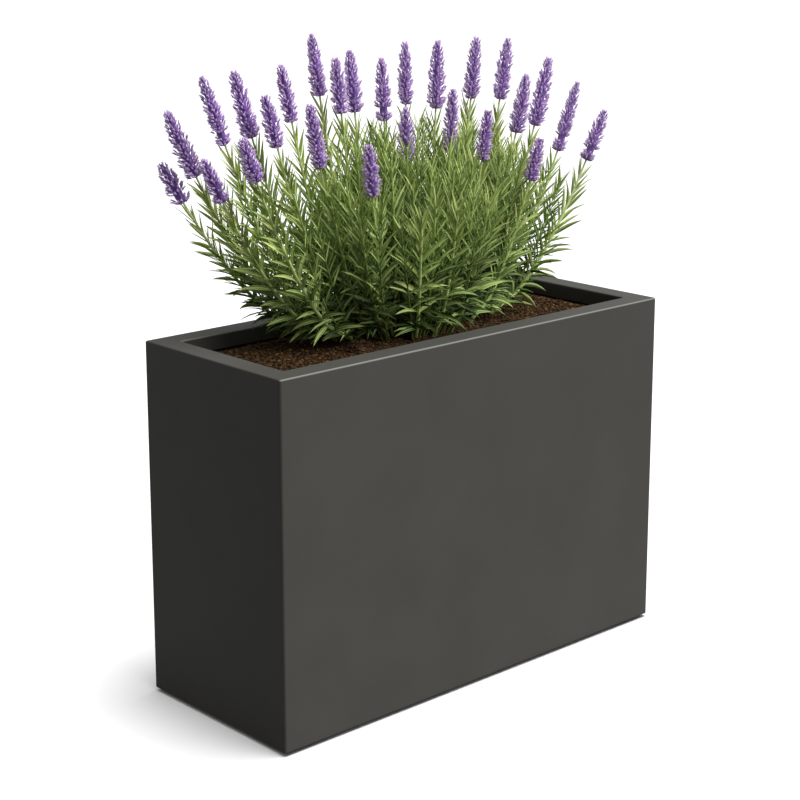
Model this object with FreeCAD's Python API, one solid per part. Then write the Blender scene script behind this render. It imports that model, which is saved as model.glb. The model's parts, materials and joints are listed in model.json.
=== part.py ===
import FreeCAD, Part
import math
import os

# Rectangular glass-fibre polyester floor planter, filled and planted with lavender.
# Millimetres, +Z up. The origin is on the ground under the middle, and the front wall faces -Y.

V = FreeCAD.Vector

# Places closer than this count as one
TOUCH = 0.001

# Shell, one moulding: walls, recessed floor, flat turned-in rim and a return lip round the mouth
LENGTH = 1000.0
DEPTH = 400.0
HEIGHT = 700.0
WALL = 5.0
RIM_WIDTH = 48.0
LIP_DROP = 30.0
CORNER_RADIUS = 5.0
INSIDE_RADIUS = 8.0
MOUTH_RADIUS = 6.0
RIM_EDGE_RADIUS = 3.0
LOWER_EDGE_RADIUS = 2.0
LARGEST_ROUND_SHARE = 0.9
STAND_OFF = 7.0
FLOOR_RECESS = 15.0
FLOOR_THICKNESS = 6.0

# Plywood stiffening board on the floor
BOARD_THICKNESS = 12.0
BOARD_CLEARANCE = 0.5

# Moulded feet with rubber soles, each held by one screw from below
FOOT_INSET = 58.0
FOOT_TOP_DIAMETER = 64.0
FOOT_LOWER_DIAMETER = 56.0
SOLE_OUTER_LAND = 4.0
SOLE_INNER_LAND = 5.5
SOLE_THICKNESS = 4.0
SOLE_PROUD = 1.5
SOLE_CLEARANCE = 0.1
SCREW_DIAMETER = 3.5
SCREW_HEAD_DIAMETER = 8.0
SCREW_HEAD_HEIGHT = 3.0
SCREW_HEAD_ROOM = 3.5
SCREW_COVER = 2.0
SCREW_CLEARANCE = 0.1
SOCKET_WIDTH = 2.5
SOCKET_DEPTH = 1.8

# Drain outlets: bush through the floor, seal and nut, sieve on top and a rubber plug from below
DRAIN_SPACING = 500.0
DRAIN_BORE = 24.0
BUSH_WALL = 4.0
BUSH_CLEARANCE = 0.3
BUSH_FLANGE_WIDTH = 9.0
BUSH_FLANGE_THICKNESS = 3.0
BUSH_ABOVE_NUT = 3.0
SEAL_THICKNESS = 1.5
NUT_WALL = 6.7
NUT_HEIGHT = 9.0
SIEVE_TOP_THICKNESS = 3.0
SIEVE_WALL = 3.0
SIEVE_HOLE_DIAMETER = 5.0
SIEVE_HOLE_INSET = 4.0
SIEVE_HOLE_COUNT = 6
PLUG_CLEARANCE = 0.08
PLUG_SEAT_GAP = 0.3
PLUG_SHANK_LENGTH = 9.0
PLUG_SHANK_CHAMFER = 1.5
PLUG_FLANGE_WIDTH = 4.0
PLUG_FLANGE_THICKNESS = 2.5
PLUG_GRIP_LENGTH = 20.0
PLUG_GRIP_WIDTH = 5.0
PLUG_GRIP_HEIGHT = 4.0
PLUG_GRIP_RADIUS = 1.2

# Filling, from the floor up: clay pellets, filter fleece, potting soil
FILL_CLEARANCE = 0.3
CLAY_DEPTH = 110.0
FLEECE_THICKNESS = 2.0
FLEECE_TURN_UP = 60.0
SOIL_BELOW_LIP = 4.0
MOUND_HEIGHT = 8.0
MOUND_INSET = 12.0
MOUND_SLOPE = 32.0

# Lavender: three plants in a row, each a root ball, a woody crown, leafy shoots, flower stems and spikes
PLANT_PITCH = 145.0
ROOT_GAP = 9.0
ROOT_TAPER = 12.0
ROOT_DEPTH = 130.0
CROWN_GAP = 4.0
CROWN_DEPTH = 162.0
CROWN_HEIGHT = 16.0
CROWN_RADIUS = 12.0
CROWN_TAPER = 2.0
FAN_HEIGHT = 550.0
FAN_ALONG_RATIO = 1.3
FAN_ACROSS_RATIO = 1.55
FAN_FLARE_RATIO = 0.55
FAN_FLARE_AT = 205.0
FAN_CURVE_RATIO = 0.6
SHOOT_RADIUS = 25.0
SHOOT_GAP = 2.0
FILLER_PITCH = 25.0
FILLER_SCATTER = 3.0
FILLER_SPACING = 20.0
FILLER_REACH_SHARE = 0.92
FILLER_END_SHARE = 0.8
FILLER_TALL = 385.0
FILLER_SHORT = 235.0
FILLER_DOME_SHARE = 0.88
STEM_RADIUS = 2.2
BARE_STEM_LENGTH = 45.0
SPIKE_LENGTH = 105.0
SPIKE_RADIUS = 16.5

# Sides of the faceted solids
SHOOT_SIDES = 6
STEM_SIDES = 6
SPIKE_SIDES = 8

# Share of a leafy shoot's length, and of its full radius there
SHOOT_PROFILE = [(0.0, 0.12), (0.14, 0.6), (0.42, 1.0), (0.75, 0.75), (1.0, 0.1)]
# Share of a spike's length, and of its full radius there: four whorls of florets and a pointed tip
SPIKE_PROFILE = [
    (0.0, 0.3), (0.1, 1.0), (0.22, 0.72), (0.34, 1.0), (0.48, 0.7),
    (0.6, 0.95), (0.72, 0.6), (0.84, 0.7), (1.0, 0.1),
]
# One row per flower stalk, all in shares: its foot along and across, of the crown's half sizes,
# the tip's height above the crown, of the fan's height, and the spike's length, of the usual one
FLOWER_STALKS = {
    "left": [
        (-0.73, 0.91, 0.629, 0.71), (-0.56, 0.71, 0.801, 1.14), (-0.32, 0.37, 0.918, 1.17),
        (-0.70, 0.14, 0.664, 0.74), (0.01, 0.40, 0.930, 1.17), (-0.49, -0.26, 0.740, 0.74),
        (0.09, 0.13, 0.853, 0.91), (0.57, 0.43, 0.934, 1.00), (0.49, 0.00, 0.817, 1.14),
        (0.81, -0.48, 0.683, 0.91),
    ],
    "middle": [
        (-0.85, 0.68, 1.018, 1.09), (-0.83, 0.39, 0.947, 1.00), (-0.54, 0.45, 0.965, 1.11),
        (-0.15, 0.34, 0.935, 1.14), (0.45, 0.51, 0.977, 1.14), (-0.33, -0.16, 0.778, 0.97),
        (0.93, 0.45, 0.977, 1.26), (0.74, 0.03, 0.823, 1.20), (0.93, -0.36, 0.755, 0.94),
    ],
    "right": [
        (-0.50, 0.54, 0.979, 1.17), (-0.05, 0.54, 0.961, 1.14), (-0.15, 0.09, 0.843, 1.09),
        (0.24, 0.22, 0.897, 1.31), (-0.49, -0.62, 0.646, 0.80), (0.46, -0.03, 0.802, 1.29),
        (0.63, -0.37, 0.705, 0.94),
    ],
}

# Levels above the ground
FLOOR_UNDERSIDE = STAND_OFF + FLOOR_RECESS
FLOOR_TOP = FLOOR_UNDERSIDE + FLOOR_THICKNESS
BOARD_TOP = FLOOR_TOP + BOARD_THICKNESS
CLAY_TOP = BOARD_TOP + CLAY_DEPTH
FLEECE_TOP = CLAY_TOP + FLEECE_THICKNESS
SOIL_EDGE = HEIGHT - LIP_DROP - SOIL_BELOW_LIP
SOIL_TOP = SOIL_EDGE + MOUND_HEIGHT
CROWN_TOP = SOIL_TOP + CROWN_HEIGHT
SCREW_TOP = BOARD_TOP - SCREW_COVER
SCREW_SEAT = SOLE_PROUD + SCREW_HEAD_HEIGHT + SCREW_HEAD_ROOM
BUSH_FLANGE_TOP = FLOOR_UNDERSIDE - SEAL_THICKNESS
BUSH_UNDERSIDE = BUSH_FLANGE_TOP - BUSH_FLANGE_THICKNESS
NUT_TOP = BOARD_TOP + NUT_HEIGHT
BUSH_TOP = NUT_TOP + BUSH_ABOVE_NUT
SIEVE_TOP = BUSH_TOP + SIEVE_TOP_THICKNESS

# Plan sizes inside the walls and at the mouth
INSIDE_LENGTH = LENGTH - 2 * WALL
INSIDE_DEPTH = DEPTH - 2 * WALL
MOUTH_LENGTH = LENGTH - 2 * RIM_WIDTH
MOUTH_DEPTH = DEPTH - 2 * RIM_WIDTH
FILL_LENGTH = INSIDE_LENGTH - 2 * FILL_CLEARANCE
FILL_DEPTH = INSIDE_DEPTH - 2 * FILL_CLEARANCE

# Diameters and widths that follow from what they fit
SOLE_OUTER_DIAMETER = FOOT_LOWER_DIAMETER - 2 * SOLE_OUTER_LAND
SOLE_INNER_DIAMETER = SCREW_HEAD_DIAMETER + 2 * SOLE_INNER_LAND
SCREW_HOLE = SCREW_DIAMETER + 2 * SCREW_CLEARANCE
BUSH_DIAMETER = DRAIN_BORE + 2 * BUSH_WALL
BUSH_HOLE = BUSH_DIAMETER + 2 * BUSH_CLEARANCE
BUSH_FLANGE_DIAMETER = BUSH_DIAMETER + 2 * BUSH_FLANGE_WIDTH
NUT_WIDTH = BUSH_HOLE + 2 * NUT_WALL
PLUG_FLANGE_DIAMETER = DRAIN_BORE + 2 * PLUG_FLANGE_WIDTH
CROWN_LENGTH = PLANT_PITCH - CROWN_GAP
CROWN_TOP_LENGTH = CROWN_LENGTH - 2 * CROWN_TAPER
CROWN_TOP_DEPTH = CROWN_DEPTH - 2 * CROWN_TAPER
ROW_HALF_LENGTH = PLANT_PITCH + CROWN_TOP_LENGTH / 2
ROOT_TOP_DIAMETER = PLANT_PITCH - ROOT_GAP
ROOT_LOWER_DIAMETER = ROOT_TOP_DIAMETER - 2 * ROOT_TAPER

# Edge radii, held inside the wall and the corner that they round
LARGEST_ROUND = LARGEST_ROUND_SHARE * min(WALL, CORNER_RADIUS)
RIM_ROUND = min(RIM_EDGE_RADIUS, LARGEST_ROUND)
LOWER_ROUND = min(LOWER_EDGE_RADIUS, LARGEST_ROUND)

# Places that repeat
FOOT_PLACES = {
    "front_left": (FOOT_INSET - LENGTH / 2, FOOT_INSET - DEPTH / 2),
    "front_right": (LENGTH / 2 - FOOT_INSET, FOOT_INSET - DEPTH / 2),
    "back_left": (FOOT_INSET - LENGTH / 2, DEPTH / 2 - FOOT_INSET),
    "back_right": (LENGTH / 2 - FOOT_INSET, DEPTH / 2 - FOOT_INSET),
}
DRAIN_PLACES = {"left": -DRAIN_SPACING / 2, "right": DRAIN_SPACING / 2}
PLANT_PLACES = {"left": -PLANT_PITCH, "middle": 0.0, "right": PLANT_PITCH}


# Shared shapes

def rounded_outline(length, depth, radius, z, x=0.0):
    """Closed wire of a rectangle with rounded corners, centred on x and lying at height z."""
    half_length = length / 2
    half_depth = depth / 2
    bulge = radius * (1 - math.sqrt(0.5))
    edges = []
    for side_x, side_y in ((1, 1), (-1, 1), (-1, -1), (1, -1)):
        corner_x = side_x * half_length
        corner_y = side_y * half_depth
        on_end = V(x + corner_x, corner_y - side_y * radius, z)
        on_side = V(x + corner_x - side_x * radius, corner_y, z)
        middle = V(x + corner_x - side_x * bulge, corner_y - side_y * bulge, z)
        start, finish = (on_end, on_side) if side_x == side_y else (on_side, on_end)
        if edges:
            edges.append(Part.LineSegment(edges[-1].Vertexes[-1].Point, start).toShape())
        edges.append(Part.Arc(start, middle, finish).toShape())
    edges.append(Part.LineSegment(edges[-1].Vertexes[-1].Point, edges[0].Vertexes[0].Point).toShape())
    return Part.Wire(edges)


def rounded_block(length, depth, radius, low, high):
    """Upright block with rounded corners, centred on the origin in plan."""
    return Part.Face(rounded_outline(length, depth, radius, low)).extrude(V(0, 0, high - low))


def disc(diameter, low, high, x, y):
    """Upright cylinder between two heights."""
    return Part.makeCylinder(diameter / 2, high - low, V(x, y, low))


def ring(outer, inner, low, high, x, y):
    """Upright tube between two heights."""
    return disc(outer, low, high, x, y).cut(disc(inner, low, high, x, y))


def closed_face(points):
    """Flat face inside a closed outline of points."""
    return Part.Face(Part.makePolygon(points + points[:1]))


def hexagon(width, low, high, x, y):
    """Upright six-sided block, measured across its flats."""
    corner = width / 2 / math.cos(math.pi / 6)
    turns = [k * math.pi / 3 for k in range(6)]
    points = [V(x + corner * math.cos(turn), y + corner * math.sin(turn), low) for turn in turns]
    return closed_face(points).extrude(V(0, 0, high - low))


def edges_at(shape, z, length=LENGTH, depth=DEPTH):
    """Edges of a shape that lie at one height, inside a plan size centred on the origin."""
    chosen = []
    for edge in shape.Edges:
        box = edge.BoundBox
        level = abs(box.ZMin - z) < TOUCH and abs(box.ZMax - z) < TOUCH
        in_length = max(box.XMax, -box.XMin) < length / 2 + TOUCH
        in_depth = max(box.YMax, -box.YMin) < depth / 2 + TOUCH
        if level and in_length and in_depth:
            chosen.append(edge)
    return chosen


def faceted_stack(centres, radii, sides):
    """Closed solid through level regular polygons. Matching edges are parallel, so all faces are flat."""
    rings = []
    for centre, radius in zip(centres, radii):
        turns = [2 * math.pi * k / sides for k in range(sides)]
        rings.append([centre + V(radius * math.cos(a), radius * math.sin(a), 0) for a in turns])
    faces = [closed_face(rings[0])]
    for below, above in zip(rings, rings[1:]):
        for k in range(sides):
            after = (k + 1) % sides
            faces.append(closed_face([below[k], below[after], above[after], above[k]]))
    faces.append(closed_face(rings[-1]))
    solid = Part.Solid(Part.Shell(faces))
    if solid.Volume < 0:
        solid.reverse()
    return solid


# Shell, board and feet

def planter_shell():
    """Hollow moulding with its rim, lip, drain holes and screw holes."""
    outer = rounded_block(LENGTH, DEPTH, CORNER_RADIUS, STAND_OFF, HEIGHT)
    outer = outer.makeFillet(RIM_ROUND, edges_at(outer, HEIGHT))
    outer = outer.makeFillet(LOWER_ROUND, edges_at(outer, STAND_OFF))
    cavity = rounded_block(INSIDE_LENGTH, INSIDE_DEPTH, INSIDE_RADIUS, FLOOR_TOP, HEIGHT - WALL)
    recess = rounded_block(INSIDE_LENGTH, INSIDE_DEPTH, INSIDE_RADIUS, STAND_OFF, FLOOR_UNDERSIDE)
    lip_block = rounded_block(
        MOUTH_LENGTH + 2 * WALL, MOUTH_DEPTH + 2 * WALL, MOUTH_RADIUS + WALL, HEIGHT - LIP_DROP, HEIGHT - WALL
    )
    mouth = rounded_block(MOUTH_LENGTH, MOUTH_DEPTH, MOUTH_RADIUS, HEIGHT - LIP_DROP, HEIGHT)
    shell = outer.cut(cavity).cut(recess).fuse(lip_block).cut(mouth).removeSplitter()
    shell = shell.makeFillet(RIM_ROUND, edges_at(shell, HEIGHT, MOUTH_LENGTH, MOUTH_DEPTH))
    for x, y in FOOT_PLACES.values():
        shell = shell.cut(disc(SCREW_HOLE, FLOOR_UNDERSIDE, FLOOR_TOP, x, y))
    for x in DRAIN_PLACES.values():
        shell = shell.cut(disc(BUSH_HOLE, FLOOR_UNDERSIDE, FLOOR_TOP, x, 0))
    return shell


def base_board():
    """Board that stiffens the floor and takes the foot screws."""
    length = INSIDE_LENGTH - 2 * BOARD_CLEARANCE
    depth = INSIDE_DEPTH - 2 * BOARD_CLEARANCE
    board = rounded_block(length, depth, INSIDE_RADIUS, FLOOR_TOP, BOARD_TOP)
    for x, y in FOOT_PLACES.values():
        board = board.cut(disc(SCREW_HOLE, FLOOR_TOP, SCREW_TOP, x, y))
    for x in DRAIN_PLACES.values():
        board = board.cut(disc(BUSH_HOLE, FLOOR_TOP, BOARD_TOP, x, 0))
    return board


def foot(x, y):
    """Tapered moulded foot with a sunk screw head and a groove for its sole."""
    body = Part.makeCone(
        FOOT_LOWER_DIAMETER / 2, FOOT_TOP_DIAMETER / 2, FLOOR_UNDERSIDE - SOLE_PROUD, V(x, y, SOLE_PROUD)
    )
    groove = ring(
        SOLE_OUTER_DIAMETER + 2 * SOLE_CLEARANCE, SOLE_INNER_DIAMETER - 2 * SOLE_CLEARANCE,
        SOLE_PROUD, SOLE_THICKNESS, x, y,
    )
    head_room = disc(SCREW_HEAD_DIAMETER + 2 * SCREW_CLEARANCE, SOLE_PROUD, SCREW_SEAT, x, y)
    hole = disc(SCREW_HOLE, SCREW_SEAT, FLOOR_UNDERSIDE, x, y)
    return body.cut(groove).cut(head_room).cut(hole)


def sole(x, y):
    """Rubber ring that the planter stands on."""
    return ring(SOLE_OUTER_DIAMETER, SOLE_INNER_DIAMETER, 0, SOLE_THICKNESS, x, y)


def foot_screw(x, y):
    """Pan-head screw with a hexagon socket, from the foot into the board."""
    head_low = SCREW_SEAT - SCREW_HEAD_HEIGHT
    head = disc(SCREW_HEAD_DIAMETER, head_low, SCREW_SEAT, x, y)
    shank = disc(SCREW_DIAMETER, SCREW_SEAT, SCREW_TOP, x, y)
    return head.fuse(shank).cut(hexagon(SOCKET_WIDTH, head_low, head_low + SOCKET_DEPTH, x, y))


# Drain outlets

def drain_bush(x):
    """Flanged outlet bush, flange under the floor and threaded barrel standing through the board."""
    flange = disc(BUSH_FLANGE_DIAMETER, BUSH_UNDERSIDE, BUSH_FLANGE_TOP, x, 0)
    barrel = disc(BUSH_DIAMETER, BUSH_FLANGE_TOP, BUSH_TOP, x, 0)
    return flange.fuse(barrel).cut(disc(DRAIN_BORE, BUSH_UNDERSIDE, BUSH_TOP, x, 0))


def drain_seal(x):
    """Flat rubber ring between the bush's flange and the floor."""
    return ring(BUSH_FLANGE_DIAMETER, BUSH_HOLE, BUSH_FLANGE_TOP, FLOOR_UNDERSIDE, x, 0)


def drain_nut(x):
    """Six-sided nut that clamps the bush from above."""
    return hexagon(NUT_WIDTH, BOARD_TOP, NUT_TOP, x, 0).cut(disc(BUSH_HOLE, BOARD_TOP, NUT_TOP, x, 0))


def drain_sieve(x):
    """Perforated cap on the bush that keeps the pellets out of the outlet."""
    cap = disc(BUSH_HOLE + 2 * SIEVE_WALL, NUT_TOP, SIEVE_TOP, x, 0)
    cap = cap.cut(disc(BUSH_HOLE, NUT_TOP, BUSH_TOP, x, 0))
    cap = cap.cut(disc(SIEVE_HOLE_DIAMETER, BUSH_TOP, SIEVE_TOP, x, 0))
    reach = DRAIN_BORE / 2 - SIEVE_HOLE_INSET
    for k in range(SIEVE_HOLE_COUNT):
        turn = 2 * math.pi * k / SIEVE_HOLE_COUNT
        hole_x = x + reach * math.cos(turn)
        hole_y = reach * math.sin(turn)
        cap = cap.cut(disc(SIEVE_HOLE_DIAMETER, BUSH_TOP, SIEVE_TOP, hole_x, hole_y))
    return cap


def drain_plug(x):
    """Rubber plug pushed into the bush from below, with a grip bar to pull it out by."""
    seat = BUSH_UNDERSIDE - PLUG_SEAT_GAP
    shank_top = BUSH_UNDERSIDE + PLUG_SHANK_LENGTH
    shank = disc(DRAIN_BORE - 2 * PLUG_CLEARANCE, seat, shank_top, x, 0)
    shank = shank.makeChamfer(PLUG_SHANK_CHAMFER, edges_at(shank, shank_top))
    flange_low = seat - PLUG_FLANGE_THICKNESS
    flange = disc(PLUG_FLANGE_DIAMETER, flange_low, seat, x, 0)
    grip = Part.makeBox(
        PLUG_GRIP_LENGTH, PLUG_GRIP_WIDTH, PLUG_GRIP_HEIGHT,
        V(x - PLUG_GRIP_LENGTH / 2, -PLUG_GRIP_WIDTH / 2, flange_low - PLUG_GRIP_HEIGHT),
    )
    grip = grip.makeFillet(PLUG_GRIP_RADIUS, edges_at(grip, flange_low - PLUG_GRIP_HEIGHT))
    return shank.fuse(flange).fuse(grip)


# Filling

def clay_drainage_layer():
    """Bed of clay pellets, with room for the outlet nuts and sieves."""
    bed = rounded_block(FILL_LENGTH, FILL_DEPTH, INSIDE_RADIUS, BOARD_TOP, CLAY_TOP)
    room = NUT_WIDTH / math.cos(math.pi / 6) + 2 * FILL_CLEARANCE
    for x in DRAIN_PLACES.values():
        bed = bed.cut(disc(room, BOARD_TOP, SIEVE_TOP + FILL_CLEARANCE, x, 0))
    return bed


def filter_fleece():
    """Fleece laid over the pellets with its border turned up along the walls."""
    tray = rounded_block(FILL_LENGTH, FILL_DEPTH, INSIDE_RADIUS, CLAY_TOP, FLEECE_TOP + FLEECE_TURN_UP)
    inner_length = FILL_LENGTH - 2 * FLEECE_THICKNESS
    inner_depth = FILL_DEPTH - 2 * FLEECE_THICKNESS
    inner = rounded_block(inner_length, inner_depth, INSIDE_RADIUS, FLEECE_TOP, FLEECE_TOP + FLEECE_TURN_UP)
    return tray.cut(inner)


def potting_soil():
    """Soil up to just under the lip, a little higher in the middle, with holes for the root balls."""
    margin = FLEECE_THICKNESS + FILL_CLEARANCE
    inner_length = FILL_LENGTH - 2 * margin
    inner_depth = FILL_DEPTH - 2 * margin
    border_top = FLEECE_TOP + FLEECE_TURN_UP + FILL_CLEARANCE
    soil = rounded_block(FILL_LENGTH, FILL_DEPTH, INSIDE_RADIUS, border_top, SOIL_EDGE)
    soil = soil.fuse(rounded_block(inner_length, inner_depth, INSIDE_RADIUS, FLEECE_TOP, border_top))
    foot_length = MOUTH_LENGTH - 2 * MOUND_INSET
    foot_depth = MOUTH_DEPTH - 2 * MOUND_INSET
    foot_outline = rounded_outline(foot_length, foot_depth, 2 * MOUND_SLOPE, SOIL_EDGE)
    top_outline = rounded_outline(
        foot_length - 2 * MOUND_SLOPE, foot_depth - 2 * MOUND_SLOPE, MOUND_SLOPE, SOIL_TOP
    )
    soil = soil.fuse(Part.makeLoft([foot_outline, top_outline], True, True)).removeSplitter()
    for x in PLANT_PLACES.values():
        soil = soil.cut(root_ball(x, FILL_CLEARANCE))
    return soil


# Lavender

def root_ball(x, clearance=0.0):
    """Tapered root ball, or its hole when a clearance is given."""
    lower_radius = ROOT_LOWER_DIAMETER / 2 + clearance
    upper_radius = ROOT_TOP_DIAMETER / 2 + clearance
    return Part.makeCone(lower_radius, upper_radius, ROOT_DEPTH, V(x, 0, SOIL_TOP - ROOT_DEPTH))


def woody_crown(x):
    """Low woody base that all of a plant's shoots rise from."""
    lower = rounded_outline(CROWN_LENGTH, CROWN_DEPTH, CROWN_RADIUS, SOIL_TOP, x)
    upper = rounded_outline(CROWN_TOP_LENGTH, CROWN_TOP_DEPTH, CROWN_RADIUS - CROWN_TAPER, CROWN_TOP, x)
    return Part.makeLoft([lower, upper], True, True)


def fan_spread(rise):
    """How far the fan has opened at a height above the crown: 0 at the crown, 1 at the fan's height."""
    return (max(rise, 0.0) / FAN_HEIGHT) ** FAN_CURVE_RATIO


def fan_point(along, across, rise):
    """Where the stem with this foot is, at a height above the crown. Outer stems lean out further."""
    spread = fan_spread(rise)
    flare = 1 + FAN_FLARE_RATIO * (along / FAN_FLARE_AT) ** 2
    x = along * (1 + FAN_ALONG_RATIO * spread * flare)
    y = across * (1 + FAN_ACROSS_RATIO * spread)
    return V(x, y, CROWN_TOP + rise)


def on_crown(x, along_share, across_share):
    """Foot on a plant's crown, from shares of the crown's half sizes."""
    return (x + along_share * CROWN_TOP_LENGTH / 2, across_share * CROWN_TOP_DEPTH / 2)


def nearest(foot_point, others):
    """Distance from a foot to the nearest other foot."""
    return min(math.dist(foot_point, other) for other in others if other != foot_point)


def filler_rise(along, across):
    """Height of a flowerless shoot: tallest in the middle of the row, lower towards its ends and sides."""
    along_share = along / (FILLER_DOME_SHARE * ROW_HALF_LENGTH)
    across_share = across / (CROWN_TOP_DEPTH / 2)
    out = min(1.0, along_share ** 2 + across_share ** 2)
    return FILLER_TALL - (FILLER_TALL - FILLER_SHORT) * out


def in_clump(along, across):
    """Whether a foot lies in the oval that the flowerless shoots of the whole row fill."""
    along_share = along / (FILLER_END_SHARE * ROW_HALF_LENGTH)
    across_share = across / (CROWN_TOP_DEPTH / 2)
    return along_share ** 2 + across_share ** 2 <= 1


def filler_feet(x, stalk_feet):
    """Feet and heights of a plant's flowerless shoots: a loose grid that keeps clear of the flower stalks."""
    golden_angle = math.pi * (3 - math.sqrt(5))
    columns = max(2, round(FILLER_REACH_SHARE * CROWN_TOP_LENGTH / FILLER_PITCH))
    rows = max(2, round(FILLER_REACH_SHARE * CROWN_TOP_DEPTH / (FILLER_PITCH * math.sqrt(0.75))))
    chosen = []
    for row in range(rows + 1):
        shift = 0.5 * (row % 2)
        for column in range(columns + 1 - row % 2):
            along_share = FILLER_REACH_SHARE * (2 * (column + shift) / columns - 1)
            across_share = FILLER_REACH_SHARE * (2 * row / rows - 1)
            along, across = on_crown(x, along_share, across_share)
            turn = golden_angle * (row * columns + column)
            place = (along + FILLER_SCATTER * math.cos(turn), across + FILLER_SCATTER * math.sin(turn))
            taken = stalk_feet + [other for other, rise in chosen]
            free = min(math.dist(place, other) for other in taken) >= FILLER_SPACING
            if free and in_clump(*place):
                chosen.append((place, filler_rise(*place)))
    return chosen


def leafy_shoot(foot_point, rise, room):
    """Spindle that holds a shoot's leaves, slim enough for the room between it and the next foot."""
    centres = []
    radii = []
    for share, width in SHOOT_PROFILE:
        height = share * rise
        opened = 1 + min(FAN_ALONG_RATIO, FAN_ACROSS_RATIO) * fan_spread(height)
        centres.append(fan_point(*foot_point, height))
        radii.append(min(width * SHOOT_RADIUS, (room - SHOOT_GAP) / 2 * opened))
    return faceted_stack(centres, radii, SHOOT_SIDES)


def flower_stem(foot_point, low, high):
    """Bare stem between the leaves and the spike."""
    centres = [fan_point(*foot_point, low), fan_point(*foot_point, high)]
    return faceted_stack(centres, [STEM_RADIUS, STEM_RADIUS], STEM_SIDES)


def flower_spike(foot_point, low, high):
    """Spike of florets in whorls, along the last stretch of its stem."""
    centres = [fan_point(*foot_point, low + share * (high - low)) for share, width in SPIKE_PROFILE]
    return faceted_stack(centres, [width * SPIKE_RADIUS for share, width in SPIKE_PROFILE], SPIKE_SIDES)


def lavender_nodes():
    """All solids of the plants, by node name."""
    stalks = {
        name: [
            (on_crown(x, along, across), tip * FAN_HEIGHT, spike * SPIKE_LENGTH)
            for along, across, tip, spike in FLOWER_STALKS[name]
        ]
        for name, x in PLANT_PLACES.items()
    }
    all_stalk_feet = [place for rows in stalks.values() for place, tip, spike in rows]
    fillers = {name: filler_feet(x, all_stalk_feet) for name, x in PLANT_PLACES.items()}
    all_feet = all_stalk_feet + [place for rows in fillers.values() for place, rise in rows]
    nodes = {}
    for name, x in PLANT_PLACES.items():
        shoots = [leafy_shoot(place, rise, nearest(place, all_feet)) for place, rise in fillers[name]]
        stems = []
        spikes = []
        for place, tip, spike in stalks[name]:
            spike_low = tip - spike
            leaf_top = spike_low - BARE_STEM_LENGTH
            shoots.append(leafy_shoot(place, leaf_top, nearest(place, all_feet)))
            stems.append(flower_stem(place, leaf_top, spike_low))
            spikes.append(flower_spike(place, spike_low, tip))
        nodes["root_ball_" + name] = root_ball(x)
        nodes["woody_crown_" + name] = woody_crown(x)
        nodes["leafy_shoots_" + name] = Part.makeCompound(shoots)
        nodes["flower_stems_" + name] = Part.makeCompound(stems)
        nodes["flower_spikes_" + name] = Part.makeCompound(spikes)
    return nodes


def planter_nodes():
    """All solids of the planter and its filling, by node name."""
    nodes = {"planter_shell": planter_shell(), "base_board": base_board()}
    for name, (x, y) in FOOT_PLACES.items():
        nodes["foot_" + name] = foot(x, y)
        nodes["sole_" + name] = sole(x, y)
    nodes["foot_screws"] = Part.makeCompound([foot_screw(x, y) for x, y in FOOT_PLACES.values()])
    for name, x in DRAIN_PLACES.items():
        nodes["drain_bush_" + name] = drain_bush(x)
        nodes["drain_seal_" + name] = drain_seal(x)
        nodes["drain_nut_" + name] = drain_nut(x)
        nodes["drain_sieve_" + name] = drain_sieve(x)
        nodes["drain_plug_" + name] = drain_plug(x)
    nodes["clay_drainage_layer"] = clay_drainage_layer()
    nodes["filter_fleece"] = filter_fleece()
    nodes["potting_soil"] = potting_soil()
    return nodes


os.makedirs("parts", exist_ok=True)
for node_name, shape in {**planter_nodes(), **lavender_nodes()}.items():
    shape.exportStep("parts/" + node_name + ".step")
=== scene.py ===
import json
import math
import random

import bmesh
import bpy
import numpy as np
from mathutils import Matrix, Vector
from mathutils.bvhtree import BVHTree


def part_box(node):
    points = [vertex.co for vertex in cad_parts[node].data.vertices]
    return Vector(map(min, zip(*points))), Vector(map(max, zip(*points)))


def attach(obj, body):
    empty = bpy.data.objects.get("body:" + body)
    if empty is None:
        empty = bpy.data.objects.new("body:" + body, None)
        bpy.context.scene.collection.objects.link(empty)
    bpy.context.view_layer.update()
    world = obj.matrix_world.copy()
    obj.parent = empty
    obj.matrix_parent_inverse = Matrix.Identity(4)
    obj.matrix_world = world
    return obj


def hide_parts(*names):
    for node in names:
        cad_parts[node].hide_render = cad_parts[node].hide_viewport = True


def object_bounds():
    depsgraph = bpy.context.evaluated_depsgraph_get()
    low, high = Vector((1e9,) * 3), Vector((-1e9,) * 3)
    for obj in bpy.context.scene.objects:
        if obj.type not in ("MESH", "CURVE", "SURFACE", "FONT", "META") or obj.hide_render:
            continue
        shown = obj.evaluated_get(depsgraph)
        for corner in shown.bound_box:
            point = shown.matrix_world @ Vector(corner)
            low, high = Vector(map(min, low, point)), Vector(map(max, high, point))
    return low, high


# Rectangular polyester planter, filled with soil and planted with lavender.
# Metres, +Z up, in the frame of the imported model.

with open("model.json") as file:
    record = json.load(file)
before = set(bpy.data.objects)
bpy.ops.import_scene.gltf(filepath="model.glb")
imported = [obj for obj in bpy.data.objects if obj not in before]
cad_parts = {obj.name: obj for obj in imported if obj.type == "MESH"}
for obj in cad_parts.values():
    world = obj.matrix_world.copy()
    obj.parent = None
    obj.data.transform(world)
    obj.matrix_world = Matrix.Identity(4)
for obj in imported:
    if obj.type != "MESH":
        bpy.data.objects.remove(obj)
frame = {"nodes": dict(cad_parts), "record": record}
cad_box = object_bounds()

BODY = "planter"
PLANTS = ("left", "middle", "right")

# Camera, which looks from this azimuth and elevation in degrees
CAMERA_PLACE = (-2.4424, -2.6135, 1.508)
CAMERA_SIDE = (-42.64, 12.79)
CAMERA_LENS = 83.92
CAMERA_SHIFT = -0.1
CAMERA_SENSOR = 36.0

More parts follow.
